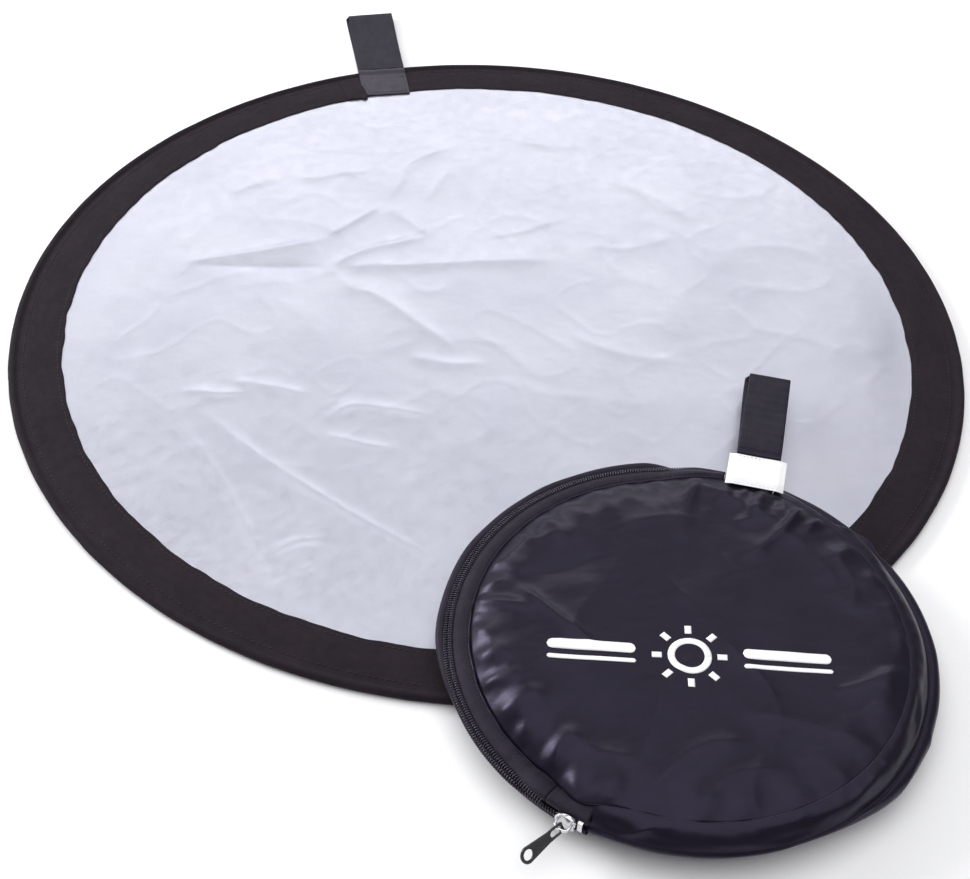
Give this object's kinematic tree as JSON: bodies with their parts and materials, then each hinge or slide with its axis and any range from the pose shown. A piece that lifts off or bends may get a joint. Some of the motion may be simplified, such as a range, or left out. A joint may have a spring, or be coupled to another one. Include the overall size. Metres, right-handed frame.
{
  "type": "collapsible reflector disc",
  "caption": "Round collapsible light reflector, silver over gold cloth on a sprung steel hoop with a black rim, and its flat round zip case.",
  "frame": {"origin": "centre of the disc, on the plane of its underside, the surface it lies on", "axes": "+Z up out of the silver face; +Y from the centre to the disc's hanging loop; +X along the fold line, to the right with +Y up"},
  "size_m": [0.6, 0.7957, 0.0339],
  "materials": {
    "spring_steel": "satin",
    "sleeve_steel": "satin",
    "silver_cloth": "metallised satin",
    "gold_cloth": "metallised satin",
    "rim_cloth": "matt",
    "thread": "satin",
    "satin_ribbon": "satin",
    "case_cloth": "satin",
    "case_binding": "satin",
    "zip_tape": "matt",
    "zip_coil": "satin",
    "slider_metal": "nickel plate",
    "pull_paint": "gloss",
    "webbing": "ribbed",
    "label_cloth": "satin"
  },
  "bodies": {
    "disc_front": {"spring_hoop_front": "spring_steel", "silver_face_front": "silver_cloth", "back_face_front": "gold_cloth", "rim_binding_front": "rim_cloth", "rim_stitching_front": "thread"},
    "disc_rear": {"spring_hoop_rear": "spring_steel", "silver_face_rear": "silver_cloth", "back_face_rear": "gold_cloth", "rim_binding_rear": "rim_cloth", "rim_stitching_rear": "thread", "hoop_splice_sleeve": "sleeve_steel", "hanging_loop_patch": "satin_ribbon", "rim_binding_join": "rim_cloth"},
    "hanging_loop": {"hanging_loop": "satin_ribbon"},
    "case": {"case_back_panel": "case_cloth", "case_front_panel": "case_cloth", "case_gusset": "case_cloth", "front_piping": "case_binding", "back_piping": "case_binding", "zip_tape_lower": "zip_tape", "zip_tape_end_closed": "zip_tape", "zip_tape_end_open": "zip_tape", "zip_teeth_lower": "zip_coil", "zip_stop_open_end": "slider_metal", "zip_stop_closed_end": "slider_metal", "carry_loop_foot": "webbing", "case_label": "label_cloth"},
    "case_flap": {"case_mouth_flap": "case_cloth", "flap_piping": "case_binding", "zip_tape_upper": "zip_tape", "zip_teeth_upper": "zip_coil"},
    "zip_slider": {"slider_body": "slider_metal", "slider_bridge": "slider_metal"},
    "pull_tab": {"pull_tab": "pull_paint"},
    "carry_loop": {"carry_loop": "webbing"}
  },
  "joints": [
    {"name": "hoop_fold", "type": "hinge", "parent": "disc_front", "child": "disc_rear", "pos_m": [0, 0, 0.03], "axis": [1, 0, 0], "range_deg": [0, 110], "stiffness_Nm_per_rad": 0.5},
    {"name": "loop_swing", "type": "hinge", "parent": "disc_rear", "child": "hanging_loop", "pos_m": [0.0027, 0.3047, 0.0026], "axis": [0.9928, -0.1201, 0], "range_deg": [0, 110]},
    {"name": "case_lift", "type": "slide", "parent": "disc_front", "child": "case", "axis": [0, 0, 1], "range_m": [0, 0.25]},
    {"name": "mouth_open", "type": "hinge", "parent": "case", "child": "case_flap", "pos_m": [0.00491, -0.271, 0.029], "axis": [0.682, 0.7314, 0], "range_deg": [0, 60]},
    {"name": "zip_travel", "type": "hinge", "parent": "case", "child": "zip_slider", "pos_m": [0.021, -0.286, 0.017], "axis": [0, 0, -1], "range_deg": [0, 160.5]},
    {"name": "pull_swing", "type": "hinge", "parent": "zip_slider", "child": "pull_tab", "pos_m": [-0.07562, -0.37148, 0.017], "axis": [0, 0, 1], "range_deg": [-27, 92]},
    {"name": "carry_swing", "type": "hinge", "parent": "case", "child": "carry_loop", "pos_m": [0.10511, -0.18004, 0.0303], "axis": [0.8704, -0.4924, 0], "range_deg": [0, 110]}
  ]
}
